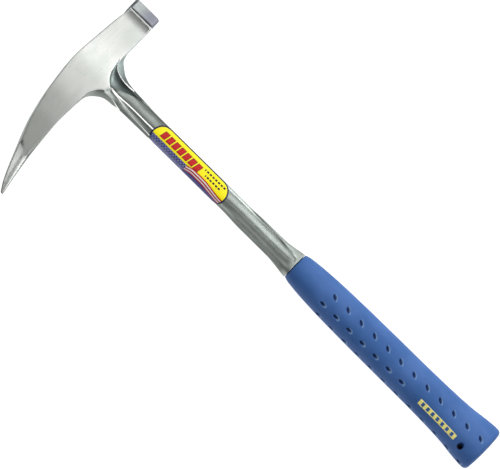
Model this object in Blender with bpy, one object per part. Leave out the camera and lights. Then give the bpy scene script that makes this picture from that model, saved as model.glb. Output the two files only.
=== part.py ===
"""Geologist's pick hammer, lying on its side.

One steel forging (head, pick, neck, fluted shank and hidden tang), a moulded grip
around the tang, an adhesive label on the shank and a stamped foil mark on the grip.

Local layout, in millimetres: x from the shank's axis towards the striking face,
d down the hammer from the crown of the head, z up from the forging's mid-plane.
place() turns that into the part's own frame, in metres.
"""

import math

import bmesh
import bpy
from mathutils import Vector

MM = 0.001

# Overall sizes.
LENGTH = 419.0
PICK_REACH = 120.0
FACE_REACH = 59.2
BUTT_HALF_WIDTH = 19.4
BUTT_HALF_THICK = 14.5
FIT_GAP = 0.3

# Head, seen from the side: depth below the crown of its two edges, from the point to the poll.
HEAD_TOP = [(-120.0, 32.6), (-111.0, 27.4), (-90.0, 18.9), (-60.0, 8.6), (-30.0, 2.5),
            (-5.0, 0.0), (20.0, 1.5), (35.0, 2.7), (50.0, 4.8)]
HEAD_BOTTOM = [(-120.0, 34.8), (-104.0, 31.8), (-75.0, 27.8), (-45.0, 25.7), (-10.0, 26.7),
               (50.0, 26.7)]
CROWN_X = -5.0
CHEEK_HALF_THICK = 8.0
FORGED_HALF_THICK = 10.0
EDGE_ROUND = 1.8
TAPER_START = -25.0
TAPER_SLOPE = 0.036
TIP_HALF_THICK = 0.9
TIP_INSET = 0.5
POINT_SLOPE = 0.148
POINT_START = -84.0
POINT_BLEND = -70.0
RIDGE_SHARE = 0.38
RIDGE_LIMIT = 0.98

# Poll: a square block that a concave hollow joins to the cheek.
POLL_START = 51.4
POLL_HALF_THICK = 11.0
POLL_TOP = 3.3
POLL_BOTTOM = 26.6
POLL_CHAMFER = 1.8
FACE_BREAK = 0.8
HOLLOW_START = 41.5
HOLLOW_END = 49.4
HOLLOW_RADIUS = 20.0
LAND_END = 50.8

# Neck and shank: half-widths towards the poll and towards the pick, and half-thickness.
SHOULDER = 223.7
NECK_POLL = [(14.0, 26.0), (26.5, 25.0), (29.0, 19.4), (32.4, 16.3), (38.0, 12.2), (44.0, 10.0),
             (52.0, 9.0), (62.0, 8.6), (76.0, 7.85), (157.0, 7.85), (168.0, 7.7), (190.0, 8.4),
             (205.0, 8.5), (SHOULDER, 10.9)]
NECK_PICK = [(14.0, 22.6), (26.0, 22.2), (27.5, 19.4), (29.5, 16.4), (32.0, 14.0), (35.0, 11.8),
             (38.0, 10.5), (44.7, 9.4), (52.0, 8.9), (62.0, 8.5), (76.0, 8.1), (157.0, 8.1),
             (175.0, 8.9), (203.0, 8.9), (SHOULDER, 11.0)]
SHANK_THICK = [(60.0, 6.2), (203.0, 6.2), (SHOULDER, 8.0)]
SHANK_SQUARENESS = 3.0
NECK_SQUARENESS = 2.2
NECK_END = 50.0
NECK_RISE_PICK = 108.9
NECK_RISE_POLL = 222.0
NECK_POINTS = 32

# Tang hidden in the grip: half-widths and half-thicknesses.
TANG_WIDTH = [(SHOULDER, 7.6), (380.0, 6.6), (398.0, 14.4), (409.0, 15.0)]
TANG_THICK = [(SHOULDER, 5.2), (380.0, 4.6), (409.0, 4.2)]
TANG_CORNER = 1.5
TANG_END = 409.0

# Flute: its two lips, the height of the steel at each lip, and its depth.
FLUTE_LEFT = [(25.6, 15.0), (27.2, 7.5), (28.3, 3.6), (30.5, -0.3), (33.0, -2.6), (35.3, -4.3),
              (44.0, -4.2), (60.0, -3.8), (80.0, -3.4), (205.0, -3.8), (214.0, -3.1), (221.0, -0.4)]
FLUTE_RIGHT = [(25.6, 15.4), (27.2, 13.0), (28.3, 11.0), (30.0, 9.0), (34.4, 7.3), (39.6, 6.5),
               (50.0, 6.1), (62.0, 4.8), (205.0, 4.6), (214.0, 3.9), (221.0, 1.2)]
LIP_LEFT = [(25.6, 8.0), (36.0, 8.0), (44.0, 6.5), (50.0, 6.0), (203.0, 5.9), (221.0, 7.3)]
LIP_RIGHT = [(25.6, 7.8), (30.0, 7.15), (39.6, 6.2), (50.0, 5.8), (203.0, 5.7), (221.0, 7.2)]
FLUTE_DEPTH = [(25.6, 0.2), (27.2, 1.1), (28.3, 1.8), (30.5, 2.7), (33.0, 3.2), (36.0, 3.2),
               (44.0, 2.2), (50.0, 1.7), (62.0, 1.35), (203.0, 1.35), (214.0, 1.2), (221.0, 0.2)]
FLUTE_POINTS = 11
CUTTER_TOP = 20.0

# Grip: half-widths and half-thicknesses of its rounded oval, which sits a little towards the poll.
GRIP_TOP = 224.0
GRIP_WIDTH = [(224.0, 10.9), (228.0, 12.1), (234.0, 12.9), (246.0, 13.9), (268.0, 14.8),
              (300.0, 15.3), (350.0, 15.6), (376.0, 16.2), (390.0, 17.0), (402.0, 18.5),
              (411.0, BUTT_HALF_WIDTH)]
GRIP_THICK = [(224.0, 9.2), (228.0, 9.9), (234.0, 10.5), (246.0, 11.3), (268.0, 12.0),
              (300.0, 12.4), (350.0, 12.6), (376.0, 12.9), (390.0, 13.4), (402.0, 14.1),
              (411.0, BUTT_HALF_THICK)]
GRIP_SQUARENESS = 2.3
BUTT_ROUND = 3.0
BUTT_CROWN = 1.2
BUTT_FLAT_INSET = 8.7
GRIP_SHIFT = 0.3
GRIP_POINTS = 40

# Moulded dimples, and the pin hole that held the tang in the mould.
DIMPLE_PITCH = 13.55
DIMPLE_HALF = (1.4, 2.5, 1.3)
DIMPLE_SLANT = math.radians(30.0)
FIRST_DIMPLE = 261.0
SIDE_DIMPLES = 12
QUARTER_DIMPLES = 7
QUARTER_X = -10.4
QUARTER_SHIFT = -3.0
PIN_HOLE_X = -13.0
PIN_HOLE_D = 403.0
PIN_HOLE_RADIUS = 2.4
PIN_HOLE_POINTS = 16

# Label, wrapped round the shank's pick-side corner, and the foil mark on the grip.
LABEL_START = 79.3
LABEL_END = 153.5
LABEL_TURNS = (math.radians(38.0), math.radians(206.0))
LABEL_THICK = 0.2
LABEL_STEPS = 16
MARK_TURN = math.radians(130.0)
MARK_START = 358.5
MARK_END = 396.0
MARK_HALF_WIDTH = 2.6
MARK_LINE = 0.7
MARK_THICK = 0.15
MARK_RUNGS = 8

X_SHIFT = (PICK_REACH - FACE_REACH) / 2
Y_SHIFT = LENGTH / 2
Z_SHIFT = BUTT_HALF_THICK


def place(x, d, z):
    """Turn a local place, in millimetres, into the part's frame, in metres."""
    return Vector((x + X_SHIFT, Y_SHIFT - d, z + Z_SHIFT)) * MM


def curve(points, at):
    """Read the smooth line through points, which never overshoots them, at one place."""
    at = min(max(at, points[0][0]), points[-1][0])
    steps = [(b[1] - a[1]) / (b[0] - a[0]) for a, b in zip(points, points[1:])]
    inner = [2 * s * t / (s + t) if s * t > 0 else 0.0 for s, t in zip(steps, steps[1:])]
    slopes = [steps[0]] + inner + [steps[-1]]
    i = max(k for k in range(len(steps)) if points[k][0] <= at)
    (x0, y0), (x1, y1) = points[i], points[i + 1]
    width = x1 - x0
    t = (at - x0) / width
    rise = y0 * (1 + 2 * t) * (1 - t) ** 2 + y1 * t * t * (3 - 2 * t)
    return rise + width * (slopes[i] * t * (1 - t) ** 2 - slopes[i + 1] * t * t * (1 - t))


def blend(low, high, at):
    """Rise smoothly from 0 at low to 1 at high."""
    t = min(max((at - low) / (high - low), 0.0), 1.0)
    return t * t * (3 - 2 * t)


def spread(start, end, count):
    """Give count evenly spaced places from start to end."""
    return [start + (end - start) * k / (count - 1) for k in range(count)]


def signed_power(value, power):
    """Raise a value's size to a power and keep its sign."""
    return math.copysign(abs(value) ** power, value)


def material(name, colour, roughness, metallic):
    """Make a plain Principled material."""
    made = bpy.data.materials.new(name)
    made.use_nodes = True
    shader = made.node_tree.nodes["Principled BSDF"]
    shader.inputs["Base Color"].default_value = (*colour, 1.0)
    shader.inputs["Roughness"].default_value = roughness
    shader.inputs["Metallic"].default_value = metallic
    return made


def solid(name, rings):
    """Skin a row of equal rings of points, with a flat cap at each end."""
    bm = bmesh.new()
    rows = [[bm.verts.new(place(*point)) for point in ring] for ring in rings]
    count = len(rows[0])
    for row, following in zip(rows, rows[1:]):
        for k in range(count):
            near = (k + 1) % count
            bm.faces.new((row[k], row[near], following[near], following[k]))
    bm.faces.new(rows[0])
    bm.faces.new(rows[-1])
    bmesh.ops.recalc_face_normals(bm, faces=bm.faces)
    mesh = bpy.data.meshes.new(name)
    bm.to_mesh(mesh)
    bm.free()
    made = bpy.data.objects.new(name, mesh)
    bpy.context.scene.collection.objects.link(made)
    return made


def combine(target, tool, operation):
    """Join a tool to the target, or cut it out, and hide the tool."""
    tool.hide_render = True
    tool.display_type = "WIRE"
    step = target.modifiers.new(tool.name, "BOOLEAN")
    step.operation = operation
    step.object = tool


def finish(made, look):
    """Give an object its material and its shading."""
    made.data.materials.append(look)
    made.data.shade_smooth()
    made.data.set_sharp_from_angle(angle=math.radians(32.0))


def head_ring(x):
    """Cross-section of the forged head: a rectangle with softened corners."""
    top = curve(HEAD_TOP, x)
    bottom = curve(HEAD_BOTTOM, x)
    ridge = TIP_HALF_THICK + (x + PICK_REACH) * POINT_SLOPE
    thick = min(ridge, FORGED_HALF_THICK)
    if x > HOLLOW_START - 2 * EDGE_ROUND:
        thick = POLL_HALF_THICK
    middle = (top + bottom) / 2
    half = (bottom - top) / 2
    pointed = 1 - blend(POINT_START, POINT_BLEND, x)
    reach_d = EDGE_ROUND + (half * RIDGE_LIMIT - EDGE_ROUND) * pointed
    reach_z = 2 * EDGE_ROUND * (1 - pointed) + RIDGE_SHARE * thick * pointed
    reach_d = min(reach_d, half * RIDGE_LIMIT)
    reach_z = min(reach_z, thick)
    return corner_ring(x, middle, half, thick, reach_d, reach_z, 1 - pointed)


def corner_ring(x, middle, half, thick, reach_d, reach_z, roundness):
    """Place a rectangle's four corners, each cut from straight (0) to fully round (1)."""
    quarter = []
    for k in range(4):
        turn = k * math.pi / 6
        along = roundness * math.sin(turn) + (1 - roundness) * k / 3
        across = roundness * math.cos(turn) + (1 - roundness) * (1 - k / 3)
        quarter.append((half - reach_d + reach_d * along, thick - reach_z + reach_z * across))
    ring = [(x, middle - d, z) for d, z in quarter]
    ring += [(x, middle - d, -z) for d, z in reversed(quarter)]
    ring += [(x, middle + d, -z) for d, z in quarter]
    ring += [(x, middle + d, z) for d, z in reversed(quarter)]
    return ring


def head_blank():
    """Head as it leaves the dies, over-thick at the cheeks."""
    stations = [-117.0] + spread(-112.0, -70.0, 10) + [-60.0, -50.0, -40.0, -30.0, -20.0, -12.0]
    stations += [CROWN_X, 2.0, 10.0, 20.0, 30.0, 40.0, 46.0, 50.0]
    blunt = 1 - TIP_INSET
    tip = head_ring(-PICK_REACH)
    centre = (HEAD_TOP[0][1] + HEAD_BOTTOM[0][1]) / 2
    tip = [(x, centre + (d - centre) * blunt, z * blunt) for x, d, z in tip]
    rings = [tip] + [head_ring(x) for x in [TIP_INSET - PICK_REACH] + stations]
    middle = (POLL_TOP + POLL_BOTTOM) / 2
    half = (POLL_BOTTOM - POLL_TOP) / 2
    cut = POLL_CHAMFER
    for x, inset in ((POLL_START, 0.0), (FACE_REACH - FACE_BREAK, 0.0), (FACE_REACH, FACE_BREAK)):
        rings.append(corner_ring(x, middle, half - inset, POLL_HALF_THICK - inset, cut, cut, 0.0))
    return solid("forged_body", rings)


def neck_ring(d):
    """Cross-section of the neck and shank, a squarish oval."""
    wide_poll = curve(NECK_POLL, d)
    wide_pick = curve(NECK_PICK, d)
    rise = max(NECK_END - d, 0.0) ** 2
    base = curve(SHANK_THICK, d)
    squareness = NECK_SQUARENESS + (SHANK_SQUARENESS - NECK_SQUARENESS) * blend(34.0, 56.0, d)
    ring = []
    for k in range(NECK_POINTS):
        turn = 2 * math.pi * (k + 0.5) / NECK_POINTS
        power = 2 / (squareness if math.cos(turn) > 0 else SHANK_SQUARENESS)
        width = wide_poll if math.cos(turn) > 0 else wide_pick
        x = width * signed_power(math.cos(turn), power)
        share = blend(-4.0, 7.0, x)
        thick = base + rise * ((1 - share) / NECK_RISE_PICK + share / NECK_RISE_POLL)
        ring.append((x, d, thick * signed_power(math.sin(turn), power)))
    return ring


def neck_and_shank():
    """Neck, shank and the shoulder above the grip."""
    stations = [14.0, 22.0] + spread(25.0, 50.0, 14) + [54.0, 62.0, 75.0, 100.0, 130.0, 158.0, 166.0]
    stations += [175.0, 190.0, 203.0, 208.0, 213.0, 218.0, SHOULDER]
    return solid("neck_and_shank", [neck_ring(d) for d in stations])


def tang(name, top, clearance):
    """Tang with its fishtail end, or the room for it."""
    rings = []
    for d in [top, 250.0, 380.0, 386.0, 392.0, 398.0, 404.0, TANG_END + clearance]:
        half_x = curve(TANG_WIDTH, d) + clearance
        half_z = curve(TANG_THICK, d) + clearance
        flat_x, flat_z = half_x - TANG_CORNER, half_z - TANG_CORNER
        ring = [(half_x, flat_z), (flat_x, half_z), (-flat_x, half_z), (-half_x, flat_z)]
        ring += [(x, -z) for x, z in reversed(ring)]
        rings.append([(x, d, z) for x, z in ring])
    return solid(name, rings)


def grinding(side):
    """Everything that grinding takes off one side of the head."""
    line = [(-PICK_REACH - 6, CHEEK_HALF_THICK - TAPER_SLOPE * (PICK_REACH + 6 + TAPER_START))]
    line += [(TAPER_START, CHEEK_HALF_THICK), (HOLLOW_START, CHEEK_HALF_THICK)]
    for x in spread(HOLLOW_START, HOLLOW_END, 8)[1:]:
        sink = math.sqrt(HOLLOW_RADIUS ** 2 - (x - HOLLOW_START) ** 2)
        line.append((x, CHEEK_HALF_THICK + HOLLOW_RADIUS - sink))
    line += [(LAND_END, line[-1][1]), (LAND_END, CUTTER_TOP), (-PICK_REACH - 6, CUTTER_TOP)]
    rings = [[(x, d, side * z) for x, z in line] for d in (-8.0, 70.0)]
    return solid("grinding" + str(side), rings)


def flute(side):
    """Hollow down one side of the shank, opening into a scoop under the head."""
    stations = [25.6, 26.3] + spread(27.2, 36.0, 9) + [40.0, 45.0, 50.0, 56.0, 62.0, 130.0]
    stations += [205.0, 209.0, 213.0, 217.0, 219.5, 221.0]
    rings = []
    for d in stations:
        left, right = curve(FLUTE_LEFT, d), curve(FLUTE_RIGHT, d)
        half = (right - left) / 2
        depth = min(curve(FLUTE_DEPTH, d), half)
        radius = (half * half + depth * depth) / (2 * depth)
        reach = math.asin(min(half / radius, 1.0))
        ring = []
        for turn in spread(-reach, reach, FLUTE_POINTS):
            share = (1 + math.sin(turn) / math.sin(reach)) / 2
            lip = curve(LIP_LEFT, d) * (1 - share) + curve(LIP_RIGHT, d) * share
            arc = radius * (1 - math.cos(turn)) - depth
            ring.append((left + 2 * half * share, d, side * (lip + arc)))
        ring.append((right + 1.0, d, side * CUTTER_TOP))
        ring.append((left - 1.0, d, side * CUTTER_TOP))
        rings.append(ring)
    return solid("flute" + str(side), rings)


def forged_body(steel):
    """The whole forging, ground on the cheeks and fluted down the shank."""
    body = head_blank()
    combine(body, neck_and_shank(), "UNION")
    combine(body, tang("tang", SHOULDER - 4.0, 0.0), "UNION")
    for side in (1, -1):
        combine(body, grinding(side), "DIFFERENCE")
        combine(body, flute(side), "DIFFERENCE")
    finish(body, steel)


def grip_point(d, turn, raise_by):
    """A point on the grip's oval at one depth, raised clear of the surface."""
    power = 2 / GRIP_SQUARENESS
    x = curve(GRIP_WIDTH, d) * signed_power(math.cos(turn), power)
    z = curve(GRIP_THICK, d) * signed_power(math.sin(turn), power)
    out = Vector((x / curve(GRIP_WIDTH, d) ** 2, z / curve(GRIP_THICK, d) ** 2)).normalized()
    return (GRIP_SHIFT + x + out.x * raise_by, d, z + out.y * raise_by)


def grip_ring(d, inset, at):
    """One ring of the grip, pulled in by inset and set at another depth."""
    shrink_x = 1 - inset / BUTT_HALF_WIDTH
    shrink_z = 1 - inset / BUTT_HALF_THICK
    points = [grip_point(d, 2 * math.pi * k / GRIP_POINTS, 0.0) for k in range(GRIP_POINTS)]
    return [(GRIP_SHIFT + (x - GRIP_SHIFT) * shrink_x, at, z * shrink_z) for x, _, z in points]


def grip_height(x, d):
    """Height of the grip's surface over one place."""
    share = abs(x - GRIP_SHIFT) / curve(GRIP_WIDTH, d)
    return curve(GRIP_THICK, d) * (1 - share ** GRIP_SQUARENESS) ** (1 / GRIP_SQUARENESS)


def ellipsoid(name, centre, normal, slant, half):
    """A closed oval blob, its length along the hammer, turned by slant about its normal."""
    bm = bmesh.new()
    bmesh.ops.create_icosphere(bm, subdivisions=2, radius=1.0)
    across = Vector((normal.z, 0.0, -normal.x))
    along = Vector((0.0, 1.0, 0.0))
    first = across * math.cos(slant) + along * math.sin(slant)
    second = along * math.cos(slant) - across * math.sin(slant)
    for vert in bm.verts:
        local = first * (vert.co.x * half[0]) + second * (vert.co.y * half[1])
        vert.co = centre + (local + normal * (vert.co.z * half[2])) * MM
    bmesh.ops.recalc_face_normals(bm, faces=bm.faces)
    mesh = bpy.data.meshes.new(name)
    bm.to_mesh(mesh)
    bm.free()
    made = bpy.data.objects.new(name, mesh)
    bpy.context.scene.collection.objects.link(made)
    return made


def dimples():
    """Three rows of dimples on each side of the grip's pick edge, as one cutter."""
    spots = []
    for k in range(SIDE_DIMPLES):
        d = FIRST_DIMPLE + k * DIMPLE_PITCH
        spots.append((GRIP_SHIFT - curve(GRIP_WIDTH, d), d, 0.0, Vector((-1, 0, 0)), 0.0))
        for side in (1, -1):
            top = side * curve(GRIP_THICK, d)
            spots.append((GRIP_SHIFT, d, top, Vector((0, 0, side)), -side * DIMPLE_SLANT))
            if k < QUARTER_DIMPLES:
                height = grip_height(QUARTER_X, d)
                lean = (abs(QUARTER_X) / curve(GRIP_WIDTH, d) ** 2, height / curve(GRIP_THICK, d) ** 2)
                normal = Vector((-lean[0], 0, side * lean[1])).normalized()
                spots.append((QUARTER_X, d + QUARTER_SHIFT, side * height, normal, 0.0))
    bm = bmesh.new()
    for x, d, z, normal, slant in spots:
        blob = ellipsoid("dimple", place(x, d, z), normal, slant, DIMPLE_HALF)
        bm.from_mesh(blob.data)
        bpy.data.objects.remove(blob)
    mesh = bpy.data.meshes.new("dimples")
    bm.to_mesh(mesh)
    bm.free()
    made = bpy.data.objects.new("dimples", mesh)
    bpy.context.scene.collection.objects.link(made)
    return made


def pin_hole(side):
    """Hole from the grip's surface straight down to the tang."""
    ends = (TANG_THICK[-1][1] - 1.0, CUTTER_TOP)
    rings = []
    for z in ends:
        turns = [2 * math.pi * k / PIN_HOLE_POINTS for k in range(PIN_HOLE_POINTS)]
        rings.append([(PIN_HOLE_X + PIN_HOLE_RADIUS * math.cos(turn),
                       PIN_HOLE_D + PIN_HOLE_RADIUS * math.sin(turn), side * z) for turn in turns])
    return solid("pin_hole" + str(side), rings)


def grip(vinyl):
    """Moulded sleeve with a rounded butt and room for the tang."""
    stations = [GRIP_TOP, 226.0, 229.0, 234.0, 241.0, 252.0, 268.0, 300.0, 350.0, 365.0, 376.0, 384.0]
    stations += [390.0, 396.0, 402.0, 407.0, LENGTH - BUTT_CROWN - BUTT_ROUND]
    rings = [grip_ring(d, 0.0, d) for d in stations]
    for k in range(1, 5):
        turn = k * math.pi / 8
        inset = BUTT_ROUND * (1 - math.cos(turn))
        rings.append(grip_ring(LENGTH, inset, stations[-1] + BUTT_ROUND * math.sin(turn)))
    rings.append(grip_ring(LENGTH, BUTT_FLAT_INSET, LENGTH))
    sleeve = solid("grip", rings)
    combine(sleeve, tang("tang_room", GRIP_TOP - 6.0, FIT_GAP), "DIFFERENCE")
    combine(sleeve, dimples(), "DIFFERENCE")
    for side in (1, -1):
        combine(sleeve, pin_hole(side), "DIFFERENCE")
    finish(sleeve, vinyl)


def label_path(offset):
    """Line across the label, round the shank's oval from the poll side to low on the pick side."""
    middle = (LABEL_START + LABEL_END) / 2
    half_z = curve(SHANK_THICK, middle)
    line = []
    for turn in spread(*LABEL_TURNS, LABEL_STEPS):
        half_x = curve(NECK_POLL if math.cos(turn) > 0 else NECK_PICK, middle)
        x = half_x * signed_power(math.cos(turn), 2 / SHANK_SQUARENESS)
        z = half_z * signed_power(math.sin(turn), 2 / SHANK_SQUARENESS)
        lean = SHANK_SQUARENESS - 1
        out = Vector((signed_power(x / half_x, lean) / half_x, signed_power(z / half_z, lean) / half_z))
        out.normalize()
        line.append((x + out.x * offset, z + out.y * offset))
    return line


def label(film):
    """Adhesive label with round ends."""
    inner, outer = label_path(FIT_GAP), label_path(FIT_GAP + LABEL_THICK)
    lengths = [0.0]
    for a, b in zip(inner, inner[1:]):
        lengths.append(lengths[-1] + math.dist(a, b))
    half = lengths[-1] / 2
    middle = (LABEL_START + LABEL_END) / 2
    straight = (LABEL_END - LABEL_START) / 2 - half
    rings = []
    for k in range(LABEL_STEPS + 1):
        place_across = half * math.cos(math.pi * k / LABEL_STEPS)
        run = half - place_across
        i = max(j for j in range(len(inner) - 1) if lengths[j] <= run + 1e-9)
        share = (run - lengths[i]) / (lengths[i + 1] - lengths[i])
        low = [inner[i][a] + (inner[i + 1][a] - inner[i][a]) * share for a in (0, 1)]
        high = [outer[i][a] + (outer[i + 1][a] - outer[i][a]) * share for a in (0, 1)]
        reach = straight + math.sqrt(max(half * half - place_across * place_across, 0.0)) + 0.01
        rings.append([(low[0], middle - reach, low[1]), (high[0], middle - reach, high[1]),
                      (high[0], middle + reach, high[1]), (low[0], middle + reach, low[1])])
    finish(solid("shank_label", rings), film)


def mark_cells():
    """Cells of the mark's grid that hold foil: two rails joined by evenly spaced rungs."""
    cells = set()
    for k in range(2 * MARK_RUNGS - 1):
        cells.update({(0, k), (2, k)})
        if k % 2 == 0:
            cells.add((1, k))
    return cells


def mark_corner(i, k, level):
    """One grid corner of the mark, over the grip's surface."""
    inner = MARK_HALF_WIDTH - MARK_LINE
    across = (-MARK_HALF_WIDTH, -inner, inner, MARK_HALF_WIDTH)
    steps = 2 * MARK_RUNGS - 1
    d = MARK_START + (MARK_END - MARK_START) * k / steps
    turn = MARK_TURN - across[i] / curve(GRIP_WIDTH, d)
    return place(*grip_point(d, turn, FIT_GAP + MARK_THICK * level))


def grip_mark(foil):
    """Foil ladder stamped on the quarter of the grip, below the short row of dimples."""
    cells = mark_cells()
    bm = bmesh.new()
    corners = {}

    def corner(i, k, level):
        key = (i, k, level)
        if key not in corners:
            corners[key] = bm.verts.new(mark_corner(i, k, level))
        return corners[key]

    for i, k in sorted(cells):
        square = [(i, k), (i + 1, k), (i + 1, k + 1), (i, k + 1)]
        bm.faces.new([corner(a, b, 1) for a, b in square])
        bm.faces.new([corner(a, b, 0) for a, b in reversed(square)])
        beyond = [(i, k - 1), (i + 1, k), (i, k + 1), (i - 1, k)]
        for (a, b), neighbour in zip(zip(square, square[1:] + square[:1]), beyond):
            if neighbour not in cells:
                bm.faces.new([corner(*a, 0), corner(*b, 0), corner(*b, 1), corner(*a, 1)])
    bmesh.ops.recalc_face_normals(bm, faces=bm.faces)
    mesh = bpy.data.meshes.new("grip_mark")
    bm.to_mesh(mesh)
    bm.free()
    made = bpy.data.objects.new("grip_mark", mesh)
    bpy.context.scene.collection.objects.link(made)
    finish(made, foil)


for item in list(bpy.data.objects):
    bpy.data.objects.remove(item)

forged_body(material("steel", (0.62, 0.63, 0.62), 0.3, 1.0))
grip(material("blue_vinyl", (0.05, 0.13, 0.38), 0.5, 0.0))
label(material("label_film", (0.9, 0.78, 0.05), 0.4, 0.0))
grip_mark(material("foil", (0.85, 0.75, 0.25), 0.4, 0.0))
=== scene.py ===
"""Looks of the geologist's pick hammer: forging, grip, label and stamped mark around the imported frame.

Local layout, in millimetres, as in the frame: x from the shank's axis towards the striking face,
d down the hammer from the crown of the head, z up from the forging's mid-plane.
"""

import math

import bpy
import numpy as np
from mathutils import Matrix, Vector


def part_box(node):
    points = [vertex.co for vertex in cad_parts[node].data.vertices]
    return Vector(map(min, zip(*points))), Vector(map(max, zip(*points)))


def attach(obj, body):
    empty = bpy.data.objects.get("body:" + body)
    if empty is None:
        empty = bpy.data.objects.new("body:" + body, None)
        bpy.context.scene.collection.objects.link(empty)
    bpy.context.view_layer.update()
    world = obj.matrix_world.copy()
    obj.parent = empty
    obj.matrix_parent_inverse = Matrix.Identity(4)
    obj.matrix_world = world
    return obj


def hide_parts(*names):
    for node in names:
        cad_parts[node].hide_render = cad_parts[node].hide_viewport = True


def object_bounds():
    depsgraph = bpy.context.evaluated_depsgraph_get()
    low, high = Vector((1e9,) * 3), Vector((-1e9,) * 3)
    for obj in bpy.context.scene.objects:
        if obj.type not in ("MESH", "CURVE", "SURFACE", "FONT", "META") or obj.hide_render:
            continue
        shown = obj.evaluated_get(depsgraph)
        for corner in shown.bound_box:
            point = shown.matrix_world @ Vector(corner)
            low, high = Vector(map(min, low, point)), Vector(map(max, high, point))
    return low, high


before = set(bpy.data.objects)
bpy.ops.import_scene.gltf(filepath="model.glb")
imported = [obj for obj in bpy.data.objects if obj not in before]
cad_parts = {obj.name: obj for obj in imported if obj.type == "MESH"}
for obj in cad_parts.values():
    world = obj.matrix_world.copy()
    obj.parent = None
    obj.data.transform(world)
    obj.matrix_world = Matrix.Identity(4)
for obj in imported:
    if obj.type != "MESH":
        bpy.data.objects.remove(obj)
cad_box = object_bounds()

MM = 0.001

# ---- driving dimensions, in millimetres

# Soft edges where two faces meet.
FINE_EDGE = 0.2
SMALL_EDGE = 0.3
SOFT_EDGE = 0.6

# Head: its crown and underside from the pick's point to the poll, and its thicknesses.
PICK_REACH = 120.0
FACE_REACH = 59.2
HEAD_TOP = [(-120.0, 32.6), (-111.0, 27.4), (-90.0, 18.9), (-60.0, 8.6), (-30.0, 2.5), (-5.0, 0.0),
            (20.0, 1.5), (35.0, 2.7), (50.0, 4.8)]
HEAD_BOTTOM = [(-120.0, 34.8), (-104.0, 31.8), (-75.0, 27.8), (-45.0, 25.7), (-10.0, 26.7),
               (50.0, 26.7)]
HEAD_END = 52.8
CHEEK_HALF_THICK = 8.0
CHEEK_EDGE = 0.4
FORGED_HALF_THICK = 10.0
FORGED_ROUND = 3.6
MOST_ROUND_SHARE = 0.6
THICKENING = 39.5
TAPER_START = -25.0
TAPER_SLOPE = 0.036
TAPER_SOFT = 14.0
GRINDING_END = 70.0
NOT_GROUND = -5.0
GRINDING_SOFT = 0.25

# The pick's four-sided point.
TIP_HALF_THICK = 0.9
POINT_SLOPE = 0.148
POINT_START = -88.0
POINT_BLEND = -82.0
POINT_SLANT = 0.82
RIDGE_SHARE = 0.38
RIDGE_SOFT = 1.6
RIDGE_SINK = 0.18

# Poll: a square block that a concave hollow joins to the cheek.
POLL_START = 50.8
LAND_DEPTHS = (4.0, 28.0)
POLL_HALF_THICK = 11.0
POLL_TOP = 3.3
POLL_BOTTOM = 26.6
POLL_CHAMFER = 1.8
POLL_FILLET = 0.5
FACE_BREAK = 0.8
HOLLOW_START = 41.5
HOLLOW_END = 49.4
HOLLOW_RADIUS = 20.0

# Neck and shank: half-widths towards the poll and towards the pick, and half-thickness.
SHOULDER = 223.7
NECK_POLL = [(14.0, 26.0), (26.5, 25.0), (29.0, 19.4), (32.4, 16.3), (38.0, 12.2), (44.0, 10.0),
             (52.0, 9.0), (62.0, 8.6), (76.0, 7.85), (157.0, 7.85), (168.0, 7.7), (190.0, 8.4),
             (205.0, 8.5), (SHOULDER, 10.9)]
NECK_PICK = [(14.0, 22.6), (26.0, 22.2), (27.5, 19.4), (29.5, 16.4), (32.0, 14.0), (35.0, 11.8),
             (38.0, 10.5), (44.7, 9.4), (52.0, 8.9), (62.0, 8.5), (76.0, 8.1), (157.0, 8.1),
             (175.0, 8.9), (203.0, 8.9), (SHOULDER, 11.0)]
SHANK_THICK = [(60.0, 6.2), (203.0, 6.2), (SHOULDER, 8.0)]
SHANK_SQUARENESS = 3.0
NECK_SQUARENESS = 2.2
NECK_TOP = 14.0
NECK_TOP_EDGE = 0.5
NECK_END = 50.0
NECK_FILLET = 1.6
NECK_RISE_PICK = 108.9
NECK_RISE_POLL = 222.0
NECK_RISE_CHANGE = (-4.0, 7.0)
NECK_SQUARING = (34.0, 56.0)

# Tang hidden in the grip: half-widths and half-thicknesses.
TANG_WIDTH = [(SHOULDER, 7.6), (380.0, 6.6), (398.0, 14.4), (409.0, 15.0)]
TANG_THICK = [(SHOULDER, 5.2), (380.0, 4.6), (409.0, 4.2)]
TANG_CORNER = 1.5
TANG_ROOT = 5.0
TANG_FILLET = 0.4
TANG_END = 409.0
FIT_GAP = 0.3

# Flute: its two lips, the height of the steel at each lip, and its depth.
FLUTE_LEFT = [(25.6, 15.0), (27.2, 7.5), (28.3, 3.6), (30.5, -0.3), (33.0, -2.6), (35.3, -4.3),
              (44.0, -4.2), (60.0, -3.8), (80.0, -3.4), (150.0, -3.0), (165.0, -1.9), (205.0, -1.9),
              (214.0, -1.8), (221.0, -0.4)]
FLUTE_RIGHT = [(25.6, 15.4), (27.2, 13.0), (28.3, 11.0), (30.0, 9.0), (34.4, 7.3), (39.6, 6.5),
               (50.0, 6.1), (62.0, 4.8), (205.0, 4.6), (214.0, 3.9), (221.0, 1.2)]
LIP_LEFT = [(25.6, 8.0), (36.0, 8.0), (44.0, 6.5), (50.0, 6.0), (203.0, 5.9), (221.0, 7.3)]
LIP_RIGHT = [(25.6, 7.8), (30.0, 7.15), (39.6, 6.2), (50.0, 5.8), (203.0, 5.7), (221.0, 7.2)]
FLUTE_DEPTH = [(25.6, 0.2), (27.2, 1.1), (28.3, 1.8), (30.5, 2.7), (33.0, 3.2), (36.0, 3.2),
               (44.0, 2.2), (50.0, 1.7), (62.0, 1.35), (203.0, 1.35), (214.0, 1.2), (221.0, 0.2)]

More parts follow.
